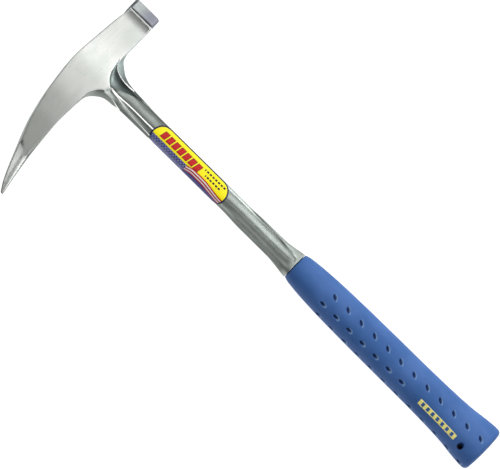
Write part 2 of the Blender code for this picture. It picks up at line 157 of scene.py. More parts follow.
# Lines of the neck and shank: depth, then the place across as seen square to a plane rolled
# towards the pick by NECK_ROLL. The first three are fine ridges, which also carry painted highlights.
# The others bound the scoop's painted shade, then follow the flute's lip with its painted highlight,
# the crest with its painted highlight, the side's edge and the painted dark shade line.
NECK_ROLL = math.radians(20.0)
SCOOP_LIP = [(27.0, 14.2), (28.0, 13.2), (30.0, 11.1), (34.4, 9.3), (39.6, 8.2), (44.8, 8.15),
             (49.5, 8.6)]
SIDE_RIDGE = [(38.0, -2.5), (42.7, -3.1), (48.0, -4.0), (52.0, -4.8), (60.0, -5.4), (70.0, -5.8),
              (80.0, -6.5)]
SHORT_RIDGE = [(34.6, -6.8), (40.0, -6.5), (44.0, -7.0), (48.0, -8.2), (52.0, -9.0)]
TONGUE = [(26.0, -3.0), (35.6, -5.6), (36.6, -1.3), (46.1, 3.0), (56.2, 6.8), (60.1, 8.1), (64.0, 9.5)]
BRIGHT_LIP = [(36.5, -1.4), (44.0, -2.1), (52.0, -1.6), (60.0, -1.35), (75.0, -1.5), (84.0, -1.5)]
CREST = [(38.0, -2.4), (44.0, 0.5), (48.0, 1.6), (52.0, 2.7), (58.0, 4.4)]
BAND_EDGE = [(36.0, -0.6), (48.0, -1.0), (60.0, -0.6), (80.0, -0.6), (150.0, 0.2), (214.0, 0.2),
             (221.0, -0.6)]
SHADE_LINE = [(44.0, 6.3), (60.0, 7.1), (80.0, 7.0), (165.0, 7.6), (180.0, 7.2), (200.0, 6.7), (212.0, 5.6)]
RIDGE_HEIGHT = 0.5
RIDGE_WIDTH = 0.75
RIDGES_START = 24.0
RIDGES_END = 84.0

# Painted light and shade on the polished steel: the share of its colour that shows in each region.
TONE_SIDE_NECK = 0.27
TONE_SIDE = 0.12
TONE_SIDE_LOW = 0.18
TONE_SIDE_GLINT = 0.5
TONE_FLUTE = 0.15
TONE_FLUTE_LOW = 0.2
TONE_FLUTE_RISE = 0.5
TONE_FLUTE_RISE_LOW = 0.82
TONE_CREST = 0.38
TONE_POLL_EDGE = 0.42
TONE_SCOOP_TOP = 0.32
TONE_SCOOP = 0.15
TONE_SHADE_LINE = 0.07
TONE_ENDS = 0.4
TONE_POLL = 0.62
TONE_POLL_FACET = 0.2
GLINT_AT = -4.8
GLINT_WIDTH = 1.5
FLUTE_RISE_WIDTH = 5.0
FLUTE_RISE_POWER = 1.8
FLUTE_FAR_LIP = (5.6, 7.0)
FLUTE_FAR_DIM = 0.55
CREST_WIDTH = 1.2
SHADE_LINE_WIDTH = 0.7

# Depths between which those tones change.
SIDE_CHANGE = (44.0, 58.0)
LOW_CHANGE = (80.0, 150.0)
CREST_START = (38.0, 43.0)
CREST_STOP = (50.0, 58.0)
SCOOP_CHANGE = (31.0, 42.0)
SCOOP_STOP = (58.0, 64.0)
UPPER_SHADE_LINE_START = (46.0, 52.0)
UPPER_SHADE_LINE_STOP = 100.0
LOWER_SHADE_LINE_START = (168.0, 178.0)
LOWER_SHADE_LINE_STOP = (206.0, 213.0)
UPPER_END = (26.0, 31.0)
LOWER_END = (217.0, 223.0)
LIP_STOP = (79.0, 84.0)
POLL_FACET = (4.9, 5.6)
# Depths over which the poll's tint, with its painted shade, eases in.
POLL_SHADE = (9.0, 20.0)
POLL_SHADE_LEAST = 0.4

# Painted shade on the ground steel: how far it darkens along the head,
# and over the point's upper and lower facets.
TOE_SHADE = [(-90.0, 0.9), (-60.0, 0.9), (-50.0, 0.78), (-40.0, 0.76), (-25.0, 0.5), (-10.0, 0.38),
             (4.0, 0.0), (12.0, 0.04), (20.0, 0.2), (35.0, 0.32), (50.0, 0.26)]
POINT_SHADE_UPPER = 0.4
POINT_SHADE_LOWER = 0.6
POINT_SHADE_START = (-97.0, -84.0)
POINT_GROUND = (-84.0, -70.0)
POINT_EDGE = (-0.9, -0.2)

# Grip: half-widths and half-thicknesses of its rounded oval, which sits a little towards the poll.
GRIP_TOP = 224.0
LENGTH = 419.0
GRIP_WIDTH = [(224.0, 10.9), (228.0, 12.1), (234.0, 12.9), (246.0, 13.9), (268.0, 14.8), (300.0, 15.3),
              (350.0, 15.6), (376.0, 16.2), (390.0, 17.0), (402.0, 18.5), (411.0, 19.4)]
GRIP_THICK = [(224.0, 9.2), (228.0, 9.9), (234.0, 10.5), (246.0, 11.3), (268.0, 12.0), (300.0, 12.4),
              (350.0, 12.6), (376.0, 12.9), (390.0, 13.4), (402.0, 14.1), (411.0, 14.5)]
GRIP_SQUARENESS = 2.3
GRIP_TOP_EDGE = 0.8
GRIP_SHIFT = 0.3
BUTT_ROUND = 4.0
BUTT_CROWN = 1.2
BUTT_CROWN_LIMIT = 1.5

# Moulded dimples, and the pin hole that held the tang in the mould.
DIMPLE_PITCH = 13.55
DIMPLE_HALF = (1.2, 2.4)
DIMPLE_DEPTH = 1.5
DIMPLE_BOWL = 0.4
DIMPLE_RIM = 0.25
DIMPLE_RIM_WIDTH = 0.35
DIMPLE_REACH = 4.5
DIMPLE_SLANT = math.radians(37.0)
FIRST_DIMPLE = 261.0
SIDE_DIMPLES = 12
QUARTER_DIMPLES = 7
QUARTER_X = -10.4
QUARTER_HALF_WIDTH = 15.6
QUARTER_SHIFT = -3.0
PIN_HOLE_X = -13.0
PIN_HOLE_D = 403.0
PIN_HOLE_RADIUS = 2.4
PIN_HOLE_EDGE = 0.35

# Painted shade and highlight of the dimples: where the lit side and the rim's painted highlight set in
# across a dimple, and how deep the painted shade darkens it.
DIMPLE_LIT = (-0.6, 1.2)
DIMPLE_LIT_SHARE = 0.5
RIM_LIT = (0.2, 1.8)
DIMPLE_DARKENS = (0.3, 0.85)

# Label: its ends, the arc that it wraps, its film's two faces above the steel, and its mesh.
LABEL_START = 79.3
LABEL_END = 153.5
LABEL_TURNS = (math.radians(38.0), math.radians(206.0))
LABEL_FACES = (0.06, 0.22)
LABEL_END_MARGIN = 0.01
LABEL_ACROSS_STEPS = 64
LABEL_ALONG_STEPS = 48
LABEL_TURN_STEPS = 40

# The label's print, measured along it from its middle and across it.
PRINT_SOFT = 0.12
DOT_PITCH = 1.7
DOT_SIZE = 0.38
BAND_WIDTH = 0.95
BANDS_START = (-1.15, -0.85)
BANDS_EDGE = 0.9
BANDS_FALL = (-2.0, 6.0, 0.0, -1.6)
BANDS_RISE = (14.0, 36.0, 0.0, 2.2)
BLOCKS = 7
BLOCK_PITCH = 5.6
BLOCK_SLANT = 0.22
BLOCK_MIDDLE = -3.6
BLOCK_HALF = (1.9, 2.7)
BLOCK_EDGE = 0.45
BLOCKS_START = -31.0
BLOCKS_STOP = 0.6
DASH_PITCH = 2.8
DASH_HALF = (0.95, 0.75)
DASHES_MIDDLE = 21.5
DASH_ROWS = ((-6.6, 10.5), (-3.2, 7.5))
OUTLINE_WIDTH = 1.1
OUTLINE_SHIFT = 1.2
OUTLINE_SHIFT_WIDTH = 3.0
LABEL_RED = (196, 10, 8)

# Foil ladder on the grip.
MARK_TURN = math.radians(130.0)
MARK_START = 358.5
MARK_END = 396.0
MARK_HALF_WIDTH = 2.6
MARK_LINE = 0.7
MARK_RUNGS = 8
MARK_STEPS = 4
MARK_RAIL_POINTS = 3
MARK_MIDDLE_POINTS = 7
MARK_FACES = (-0.04, 0.07)

# Cells of the grids that the shapes are sampled on.
FORGING_CELL = 0.62
GRIP_CELL = 0.6
GRID_MARGIN = 1.5
FORGING_GRID_HALF = 12.6
GRIP_GRID_HALF = (21.5, 16.0)
SLAB = 64

# ---- the local frame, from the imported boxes

forged_low, forged_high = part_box("forged_body")
AXIS_X = forged_high.x - FACE_REACH * MM
CROWN_Y = forged_high.y
MID_Z = (forged_low.z + forged_high.z) / 2


def place(x, d, z):
    """Turn a local place, in millimetres, into the part's frame, in metres."""
    return Vector((AXIS_X + x * MM, CROWN_Y - d * MM, MID_Z + z * MM))


def placed(points):
    """Turn rows of local places into rows in the part's frame."""
    return np.array((AXIS_X, CROWN_Y, MID_Z)) + np.asarray(points) * np.array((MM, -MM, MM))


# ---- curves and fields


def curve(points, at):
    """Read the smooth line through points, which never overshoots them, at every place in an array."""
    px, py = np.array(points, float).T
    at = np.clip(at, px[0], px[-1])
    width = np.diff(px)
    step = np.diff(py) / width
    both = step[:-1] * step[1:]
    total = np.where(both > 0, step[:-1] + step[1:], 1.0)
    slope = np.concatenate([step[:1], np.where(both > 0, 2 * both / total, 0.0), step[-1:]])
    i = np.clip(np.searchsorted(px, at, "right") - 1, 0, len(width) - 1)
    t = (at - px[i]) / width[i]
    rise = py[i] * (1 + 2 * t) * (1 - t) ** 2 + py[i + 1] * t * t * (3 - 2 * t)
    return rise + width[i] * (slope[i] * t * (1 - t) ** 2 - slope[i + 1] * t * t * (1 - t))


def ease(low, high, at):
    """Rise smoothly from 0 at low to 1 at high."""
    t = np.clip((at - low) / (high - low), 0.0, 1.0)
    return t * t * (3 - 2 * t)


def cut_to(a, b, soft):
    """Keep what is inside both fields, with an edge rounded by soft."""
    near = np.maximum(soft - np.abs(a - b), 0.0)
    return np.maximum(a, b) + near * near / (4 * soft)


def join(a, b, soft):
    """Keep what is inside either field, with a corner filled by soft."""
    return -cut_to(-a, -b, soft)


def rounded_box(u, v, radius):
    """Distance to a rectangle's edge from two signed side distances, with round corners."""
    p, q = u + radius, v + radius
    return np.hypot(np.maximum(p, 0), np.maximum(q, 0)) + np.minimum(np.maximum(p, q), 0) - radius


def oval(x, z, half_x, half_z, power):
    """Squarish oval: 1 on its line, less inside."""
    u, v = np.abs(x) / half_x + 1e-6, np.abs(z) / half_z + 1e-6
    return (u ** power + v ** power) ** (1 / power)


def near_distance(shape, x, d, z):
    """Turn a shape's level, 1 on its surface, into a distance that holds near the surface."""
    step = 0.25
    here = shape(x, d, z)
    slopes = (shape(x + step, d, z) - here, shape(x, d + step, z) - here, shape(x, d, z + step) - here)
    steepness = np.sqrt(sum(s * s for s in slopes)) / step
    return (here - 1) / np.maximum(steepness, 0.01)


# ---- the forging as a field


def head_line(x):
    """Middle line of the head and its half-depth."""
    top, bottom = curve(HEAD_TOP, x), curve(HEAD_BOTTOM, x)
    return (top + bottom) / 2, (bottom - top) / 2


def pointed(x, d, middle):
    """Share, 0 to 1, of being on the faceted point, which starts along a slanted line."""
    return 1 - ease(POINT_START, POINT_BLEND, x + POINT_SLANT * (d - middle))


def head(x, d, z):
    """Head as forged: curved bar, over-thick at the cheeks, with a faceted point."""
    middle, half = head_line(x)
    off = np.abs(d - middle)
    ridge = TIP_HALF_THICK + (x + PICK_REACH) * POINT_SLOPE
    thick = np.clip(ridge, SMALL_EDGE, FORGED_HALF_THICK)
    thick = np.where(x > THICKENING, POLL_HALF_THICK, thick)
    radius = np.minimum(FORGED_ROUND, np.minimum(half, thick) * MOST_ROUND_SHARE)
    bar = rounded_box(off - half, np.abs(z) - thick, radius)
    share = RIDGE_SHARE * pointed(x, d, middle)
    fall = np.abs(d - middle - RIDGE_SINK * half)
    fall = np.sqrt(fall * fall + RIDGE_SOFT * RIDGE_SOFT) - RIDGE_SOFT
    facet = np.abs(z) - ridge * (1 - share * fall / half)
    bar = cut_to(bar, facet, SMALL_EDGE)
    bar = cut_to(bar, -PICK_REACH - x, SOFT_EDGE)
    return cut_to(bar, x - HEAD_END, SMALL_EDGE)


def grinding(x, z):
    """Ground sides: above zero is what grinding takes off."""
    side = np.abs(z)
    past = x - TAPER_START
    past = (past - np.hypot(past, TAPER_SOFT)) / 2
    flat = side - CHEEK_HALF_THICK - TAPER_SLOPE * past
    hollow = HOLLOW_RADIUS - np.hypot(x - HOLLOW_START, side - CHEEK_HALF_THICK - HOLLOW_RADIUS)
    beyond = np.where(x > HOLLOW_START, hollow, flat)
    sink = math.sqrt(HOLLOW_RADIUS ** 2 - (HOLLOW_END - HOLLOW_START) ** 2)
    land = side - CHEEK_HALF_THICK - HOLLOW_RADIUS + sink
    beyond = np.where(x > HOLLOW_END, land, beyond)
    return np.where(x > POLL_START + SMALL_EDGE, NOT_GROUND, beyond)


def poll(x, d, z):
    """Square block with broken edges."""
    middle, half = (POLL_TOP + POLL_BOTTOM) / 2, (POLL_BOTTOM - POLL_TOP) / 2
    u, v = np.abs(d - middle) - half, np.abs(z) - POLL_HALF_THICK
    block = cut_to(cut_to(u, v, FINE_EDGE), (u + v + POLL_CHAMFER) / math.sqrt(2), SMALL_EDGE)
    face = x - FACE_REACH
    broken = (block + face + FACE_BREAK) / math.sqrt(2)
    block = cut_to(cut_to(block, face, FINE_EDGE), broken, SMALL_EDGE)
    return cut_to(block, POLL_START - x, SMALL_EDGE)


def neck_level(x, d, z):
    """Level of the neck and shank's squarish oval, 1 on its surface."""
    to_poll = x > 0
    width = np.where(to_poll, curve(NECK_POLL, d), curve(NECK_PICK, d))
    rise = np.maximum(NECK_END - d, 0) ** 2
    share = ease(*NECK_RISE_CHANGE, x)
    thick = curve(SHANK_THICK, d) + rise * ((1 - share) / NECK_RISE_PICK + share / NECK_RISE_POLL)
    square = NECK_SQUARENESS + (SHANK_SQUARENESS - NECK_SQUARENESS) * ease(*NECK_SQUARING, d)
    return oval(x, z, width, thick, np.where(to_poll, square, SHANK_SQUARENESS))


def seen_across(x, z):
    """Place across the hammer as seen square to the plane that the neck's lines are given in."""
    return x * math.cos(NECK_ROLL) + np.abs(z) * math.sin(NECK_ROLL)


def across_line(points, x, d, z):
    """Signed gap across the hammer to one of the neck's lines; wide beyond the line's ends."""
    beyond = np.maximum(points[0][0] - d, 0) + np.maximum(d - points[-1][0], 0)
    gap = seen_across(x, z) - curve(points, d)
    return np.where(beyond > 0, np.copysign(np.hypot(gap, beyond), gap), gap)


def ridges(x, d, z):
    """Share, 0 to 1, of being on one of the neck's fine ridges."""
    nearest = np.abs(across_line(SCOOP_LIP, x, d, z))
    for line in (SIDE_RIDGE, SHORT_RIDGE):
        nearest = np.minimum(nearest, np.abs(across_line(line, x, d, z)))
    return np.exp(-(nearest / RIDGE_WIDTH) ** 2)


def neck(x, d, z):
    """Neck and shank between the head and the shoulder."""
    body = near_distance(neck_level, x, d, z)
    ridged = (d > RIDGES_START) & (d < RIDGES_END)
    body = body - np.where(ridged, RIDGE_HEIGHT * ridges(x, d, z), 0.0)
    return cut_to(cut_to(body, NECK_TOP - d, NECK_TOP_EDGE), d - SHOULDER, SOFT_EDGE)


def tang(x, d, z, clearance):
    """Tang with its fishtail end, grown by a clearance."""
    u = np.abs(x) - curve(TANG_WIDTH, d) - clearance
    v = np.abs(z) - curve(TANG_THICK, d) - clearance
    bar = cut_to(rounded_box(u, v, TANG_CORNER), d - TANG_END - clearance, SOFT_EDGE)
    return cut_to(bar, SHOULDER - TANG_ROOT - d, SMALL_EDGE)


def flute(x, d, z):
    """Hollow down both sides of the shank: below zero is what it takes out."""
    left, right = curve(FLUTE_LEFT, d), curve(FLUTE_RIGHT, d)
    low, high = curve(LIP_LEFT, d), curve(LIP_RIGHT, d)
    chord = np.hypot(right - left, high - low) / 2
    depth = np.minimum(curve(FLUTE_DEPTH, d), chord)
    radius = (chord ** 2 + depth ** 2) / (2 * depth)
    lean_x, lean_z = -(high - low) / (2 * chord), (right - left) / (2 * chord)
    centre_x = (left + right) / 2 + lean_x * (radius - depth)
    centre_z = (low + high) / 2 + lean_z * (radius - depth)
    tube = np.hypot(x - centre_x, np.abs(z) - centre_z) - radius
    ends = np.maximum(FLUTE_LEFT[0][0] - d, d - FLUTE_LEFT[-1][0])
    return np.maximum(tube, ends)


def flute_distance(x, d, z):
    """Flute's field, scaled to a distance where its walls climb steeply along the hammer."""
    step = 0.3
    here = flute(x, d, z)
    climb = (flute(x, d + step, z) - here) / step
    return here / np.sqrt(1 + climb * climb)


def forging(x, d, z):
    """The whole forging: head and neck, ground, fluted, with the poll and the tang."""
    body = join(head(x, d, z), neck(x, d, z), NECK_FILLET)
    body = cut_to(body, np.where(d < GRINDING_END, grinding(x, z), NOT_GROUND), CHEEK_EDGE)
    body = join(body, poll(x, d, z), POLL_FILLET)
    body = cut_to(body, -flute_distance(x, d, z), SOFT_EDGE)
    return join(body, tang(x, d, z, 0.0), TANG_FILLET)


# ---- the grip as a field


def grip_level(x, d, z):
    """Level of the grip's oval, 1 on its surface."""
    return oval(x - GRIP_SHIFT, z, curve(GRIP_WIDTH, d), curve(GRIP_THICK, d), GRIP_SQUARENESS)


def grip(x, d, z):
    """Moulded sleeve with a rounded butt, room for the tang and two pin holes."""
    body = near_distance(grip_level, x, d, z)
    crown = BUTT_CROWN * np.minimum(grip_level(x, d, z) ** 2, BUTT_CROWN_LIMIT)
    body = cut_to(body, d - LENGTH + crown, BUTT_ROUND)
    body = cut_to(body, GRIP_TOP - d, GRIP_TOP_EDGE)
    body = cut_to(body, -tang(x, d, z, FIT_GAP), FINE_EDGE)
    hole = np.hypot(x - PIN_HOLE_X, d - PIN_HOLE_D) - PIN_HOLE_RADIUS
    return cut_to(body, -np.maximum(hole, TANG_THICK[-1][1] - np.abs(z)), PIN_HOLE_EDGE)


def grip_point(d, turn, raise_by):
    """A point on the grip's oval, raised clear of the surface, and its outward direction."""
    half_x, half_z = float(curve(GRIP_WIDTH, d)), float(curve(GRIP_THICK, d))
    power = 2 / GRIP_SQUARENESS
    x = half_x * math.copysign(abs(math.cos(turn)) ** power, math.cos(turn))
    z = half_z * math.copysign(abs(math.sin(turn)) ** power, math.sin(turn))
    lean = GRIP_SQUARENESS - 1
    out = Vector((math.copysign(abs(x / half_x) ** lean / half_x, x), 0.0,
                  math.copysign(abs(z / half_z) ** lean / half_z, z))).normalized()
    return Vector((x + GRIP_SHIFT, d, z)) + out * raise_by, out


def dimple_spots():
    """Centre, outward direction and slant of each dimple."""
    spots = []
    quarter = math.acos(-abs(QUARTER_X / QUARTER_HALF_WIDTH) ** (GRIP_SQUARENESS / 2))
    for k in range(SIDE_DIMPLES):
        d = FIRST_DIMPLE + k * DIMPLE_PITCH
        spots.append((*grip_point(d, math.pi, 0.0), 0.0))
        for side in (1, -1):
            spots.append((*grip_point(d, side * math.pi / 2, 0.0), side * DIMPLE_SLANT))
            if k < QUARTER_DIMPLES:
                spots.append((*grip_point(d + QUARTER_SHIFT, side * quarter, 0.0), 0.0))
    return spots


def pocket(x, d, z, spot):
    """One dimple's hollow, an oval bowl: below zero inside it."""
    centre, out, slant = spot
    x, d, z = x - centre.x, d - centre.y, z - centre.z
    across = x * out.z - z * out.x
    up = x * out.x + z * out.z
    first = across * math.cos(slant) + d * math.sin(slant)
    second = d * math.cos(slant) - across * math.sin(slant)
    level = np.hypot(first / DIMPLE_HALF[0], second / DIMPLE_HALF[1])
    floor = -up - DIMPLE_DEPTH * (1 - DIMPLE_BOWL * np.minimum(level * level, 1.0))
    return cut_to((level - 1) * DIMPLE_HALF[0], floor, SMALL_EDGE)


def carve_dimples(axes, grid, spots):
    """Press the dimples into a sampled grip."""
    for spot in spots:
        window = []
        for axis, at in zip(axes, spot[0]):
            inside = np.nonzero(np.abs(axis - at) < DIMPLE_REACH)[0]
            window.append(slice(inside[0], inside[-1] + 1))
        window = tuple(window)
        x, d, z = (axis[part] for axis, part in zip(axes, window))
        hollow = pocket(x[:, None, None], d[None, :, None], z[None, None, :], spot)
        grid[window] = cut_to(grid[window], -hollow, DIMPLE_RIM)


def dimple_depths(x, d, z, spots):
    """At scattered places: depth of a dimple for its painted shade, weaker on its lit side, share of its
    rim's painted highlight, and the grip's field.
    """
    smooth = grip(x, d, z)
    level, sunk, rim = smooth.copy(), np.zeros(x.shape), np.zeros(x.shape)
    for spot in spots:
        centre = spot[0]
        near = (np.abs(d - centre.y) < DIMPLE_REACH) & (np.abs(x - centre.x) < DIMPLE_REACH)
        near = np.nonzero(near & (np.abs(z - centre.z) < DIMPLE_REACH))[0]
        hollow = pocket(x[near], d[near], z[near], spot)
        level[near] = cut_to(level[near], -hollow, DIMPLE_RIM)
        # Painted shade, deeper in the dimple and weaker on its lit side, and a painted highlight on the
        # rim's lit side.
        sideways = x[near] - centre.x + d[near] - centre.y
        shaded = 1 - DIMPLE_LIT_SHARE * ease(*DIMPLE_LIT, sideways)
        sunk[near] = np.maximum(sunk[near], -smooth[near] * shaded)
        painted_sheen = ease(*RIM_LIT, sideways)
        on_rim = np.exp(-((hollow - DIMPLE_RIM) / DIMPLE_RIM_WIDTH) ** 2)
        rim[near] = np.maximum(rim[near], on_rim * painted_sheen)
    return sunk, rim, level


# ---- meshes


def sample(field, low, high, cell):
    """Read a field on a regular grid, slab by slab."""
    axes = [np.arange(a, b + cell, cell) for a, b in zip(low, high)]
    grid = np.empty([len(axis) for axis in axes], np.float32)
    for k in range(0, len(axes[1]), SLAB):
        block = field(axes[0][:, None, None], axes[1][None, k:k + SLAB, None], axes[2][None, None, :])
        grid[:, k:k + SLAB] = block
    return axes, grid


def net(axes, grid):
    """Skin a sampled field: a corner in each cell that it crosses, a face round each crossed edge."""
    origin = np.array([axis[0] for axis in axes])
    cell = axes[0][1] - axes[0][0]
    strides = np.array((grid.shape[1] * grid.shape[2], grid.shape[2], 1))
    cells, hits, faces = [], [], []
    count = 0
    for axis in range(3):
        near, far = [slice(None)] * 3, [slice(None)] * 3
        near[axis], far[axis] = slice(0, -1), slice(1, None)
        first, second = grid[tuple(near)], grid[tuple(far)]
        crossed = (first < 0) != (second < 0)
        at = np.argwhere(crossed)
        a, b = first[crossed].astype(float), second[crossed].astype(float)
        hit = at.astype(float)
        hit[:, axis] += a / (a - b)
        for step_b, step_c in ((0, 0), (-1, 0), (-1, -1), (0, -1)):
            corner = at.copy()
            corner[:, (axis + 1) % 3] += step_b
            corner[:, (axis + 2) % 3] += step_c
            cells.append(corner @ strides)
            hits.append(hit)
        ring = (count + np.arange(4)[:, None] * len(at) + np.arange(len(at))[None, :]).T
        ring[a < 0] = ring[a < 0][:, ::-1]
        faces.append(ring)
        count += 4 * len(at)
    _, corner_of = np.unique(np.concatenate(cells), return_inverse=True)
    hits = np.concatenate(hits)
    share = np.bincount(corner_of)
    points = np.stack([np.bincount(corner_of, hits[:, k]) / share for k in range(3)], axis=1)
    return origin + points * cell, corner_of[np.concatenate(faces)]


def settle(points, field):
    """Move a net's corners onto the field's true surface, in two short steps."""
    step, least_steepness, most_move = 0.05, 0.2, 0.3
    for _ in range(2):
        x, d, z = points.T
        here = field(x, d, z)
        stepped = (field(x + step, d, z), field(x, d + step, z), field(x, d, z + step))
        slope = np.stack([there - here for there in stepped], axis=1) / step
        steepness = np.maximum((slope * slope).sum(axis=1), least_steepness)
        move = (-here / steepness)[:, None] * slope
        points = points + np.clip(move, -most_move, most_move)
    return points


def add_object(name, data):
    """Put a new object into the scene."""
    made = bpy.data.objects.new(name, data)
    bpy.context.scene.collection.objects.link(made)
    return made


def mesh_object(name, points, faces):
    """Make a shaded mesh object from local points and faces."""
    mesh = bpy.data.meshes.new(name)
    mesh.from_pydata(placed(points).tolist(), [], [list(face) for face in faces])
    mesh.validate()
    mesh.shade_smooth()
    return add_object(name, mesh)


def attribute(made, name, values):
    """Store one number per corner of the mesh for its material."""
    layer = made.data.attributes.new(name, "FLOAT", "POINT")
    layer.data.foreach_set("value", np.asarray(values, np.float32))


def tidy_points(points, faces, rounds):
    """Even out a net's corners a little without shrinking it."""
    inward, outward = 0.5, -0.52
    edges = np.concatenate([faces[:, [0, 1]], faces[:, [1, 2]], faces[:, [2, 3]], faces[:, [3, 0]]])
    share = np.bincount(edges[:, 0], minlength=len(points))
    for _ in range(rounds):
        for pull in (inward, outward):
            sums = [np.bincount(edges[:, 0], points[edges[:, 1], c], len(points)) for c in range(3)]
            points = points + pull * (np.stack(sums, axis=1) / share[:, None] - points)
    return points


def blend(first, second, share):
    """Go from the first value to the second by a share, 0 to 1."""
    return first + (second - first) * share


def flute_tone(seen, d, low):
    """Painted light on the flute, which brightens towards the poll, and the share of being in the flute.
    """
    past = seen - curve(BAND_EDGE, d)
    rise = np.clip(past / FLUTE_RISE_WIDTH, 0.0, 1.0) ** FLUTE_RISE_POWER
    rise = rise * (1 - FLUTE_FAR_DIM * ease(*FLUTE_FAR_LIP, past))
    base = blend(TONE_FLUTE, TONE_FLUTE_LOW, low)
    climb = blend(TONE_FLUTE_RISE, TONE_FLUTE_RISE_LOW, low)
    return base + climb * rise, ease(-0.4, 0.4, past)


def shank_tone(x, d, z, scoop):
    """Painted light and shade on the polished steel: dull side with a glint, bright flute and crest, dark
    scoop and line.
    """
    seen = seen_across(x, z)
    low = ease(*LOW_CHANGE, d)
    tone = blend(blend(TONE_SIDE_NECK, TONE_SIDE, ease(*SIDE_CHANGE, d)), TONE_SIDE_LOW, low)
    # Painted glint along the dull side.
    tone = tone + TONE_SIDE_GLINT * np.exp(-((seen - GLINT_AT) / GLINT_WIDTH) ** 2)
    bright, share = flute_tone(seen, d, low)
    tone = blend(tone, bright, share)
    # Painted highlight along the crest.
    crest = np.exp(-((seen - curve(CREST, d)) / CREST_WIDTH) ** 2)
    crest = crest * ease(*CREST_START, d) * (1 - ease(*CREST_STOP, d))
    tone = blend(tone, TONE_CREST, crest)
    # Painted highlight on the poll-side edge beyond the shade line.
    beyond = seen - curve(SHADE_LINE, d)
    tone = blend(tone, TONE_POLL_EDGE, ease(0.0, 1.0, beyond))
    # Painted shade in the scoop.
    tone = blend(tone, blend(TONE_SCOOP_TOP, TONE_SCOOP, ease(*SCOOP_CHANGE, d)), scoop)
    # Painted shade: a dark line along the flute's far lip.
    started = ease(*UPPER_SHADE_LINE_START, d) * np.maximum(d < UPPER_SHADE_LINE_STOP, ease(*LOWER_SHADE_LINE_START, d))
    shade_line = np.exp(-(beyond / SHADE_LINE_WIDTH) ** 2) * started * (1 - ease(*LOWER_SHADE_LINE_STOP, d))
    tone = blend(tone, TONE_SHADE_LINE, shade_line)
    tone = blend(tone, TONE_ENDS, np.maximum(1 - ease(*UPPER_END, d), ease(*LOWER_END, d)))
    # Painted shade on the poll's top chamfer, darker than the block's side.
    poll_tone = blend(TONE_POLL_FACET, TONE_POLL, ease(*POLL_FACET, d))
    return np.where(x > POLL_START - FINE_EDGE, poll_tone, tone)


def shade_head(made, x, d, z):
    """Store the head's masks, and return where its steel is ground."""
    middle, half = head_line(x)
    ground = np.exp(-np.abs(grinding(x, z)) / GRINDING_SOFT) * (d < GRINDING_END)
    inside = 1 - ease(*POINT_EDGE, np.abs(d - middle) - half)
    ground = np.maximum(ground, (1 - ease(*POINT_GROUND, x)) * inside)
    point = pointed(x, d, middle)
    lower = ease(-1.0, 1.0, d - middle - RIDGE_SINK * half)
    point_shade = blend(POINT_SHADE_UPPER, POINT_SHADE_LOWER, lower) * ease(*POINT_SHADE_START, x)
    # Painted shade along the ground head and over the point's facets, fading out at the tip.
    attribute(made, "toe", blend(curve(TOE_SHADE, x), point_shade, point))
    # Poll block's lavender-grey tint, with painted shade: it eases in below the block's top, which stays
    # lighter.
    block = x > POLL_START - FINE_EDGE
    attribute(made, "poll", block * blend(POLL_SHADE_LEAST, 1.0, ease(*POLL_SHADE, d)))
    return ground


def shade_neck(made, x, d, z, ground):
    """Store the masks of the neck and shank: the scoop's painted shade, a tone of painted light and shade,
    painted highlights on ridges, lips and the poll's land, and the hidden tang's painted shade.
    """
    bare = (1 - ground) * (d > RIDGES_START) * (x < HOLLOW_START)
    # Painted shade in the scoop below the head.
    scoop = ease(-0.5, 0.5, across_line(TONGUE, x, d, z)) * bare * (1 - ease(*SCOOP_STOP, d))
    attribute(made, "scoop", scoop)
    attribute(made, "tone", shank_tone(x, d, z, scoop))
    # Painted highlights: white along the ridges, the flute's lip and the poll's narrow land.
    lines = ridges(x, d, z) * bare * (d < RIDGES_END)
    lip = np.exp(-(across_line(BRIGHT_LIP, x, d, z) / RIDGE_WIDTH) ** 2) * bare
    lip = lip * (d > BRIGHT_LIP[0][0] - 0.5) * (1 - ease(*LIP_STOP, d))
    land = (x > HOLLOW_END) & (x < POLL_START - FINE_EDGE) & (d > LAND_DEPTHS[0]) & (d < LAND_DEPTHS[1])
    attribute(made, "ridge", np.maximum(np.maximum(lines, lip), land))
    attribute(made, "ground", ground * ~land)
    # Painted shade: the tang darkened where the grip covers it and at the bottom of the pin holes.
    attribute(made, "hidden", ease(SHOULDER - 0.5, SHOULDER + 0.5, d))


def make_forging():
    """High-resolution forging, with the masks that its material reads."""
    low = (-PICK_REACH - GRID_MARGIN, -GRID_MARGIN, -FORGING_GRID_HALF)
    high = (FACE_REACH + GRID_MARGIN, TANG_END + GRID_MARGIN, FORGING_GRID_HALF)
    points, faces = net(*sample(forging, low, high, FORGING_CELL))
    points = settle(tidy_points(points, faces, 2), forging)
    made = mesh_object("steel_forging", points, faces)
    ground = shade_head(made, *points.T)
    shade_neck(made, *points.T, ground)
    return made


def make_grip():
    """High-resolution grip with its dimples."""
    half_x, half_z = GRIP_GRID_HALF
    low, high = (-half_x, GRIP_TOP - GRID_MARGIN, -half_z), (half_x, LENGTH + GRID_MARGIN, half_z)
    axes, grid = sample(grip, low, high, GRIP_CELL)
    spots = dimple_spots()
    carve_dimples(axes, grid, spots)
    points, faces = net(axes, grid)
    points = settle(tidy_points(points, faces, 1), lambda x, d, z: dimple_depths(x, d, z, spots)[2])
    made = mesh_object("vinyl_grip", points, faces)
    x, d, z = points.T
    sunk, rim, _ = dimple_depths(x, d, z, spots)
    # Masks of the dimples' painted shade and of the rims' painted highlight.
    attribute(made, "dimple", ease(*DIMPLE_DARKENS, sunk))
    attribute(made, "rim", rim)
    return made


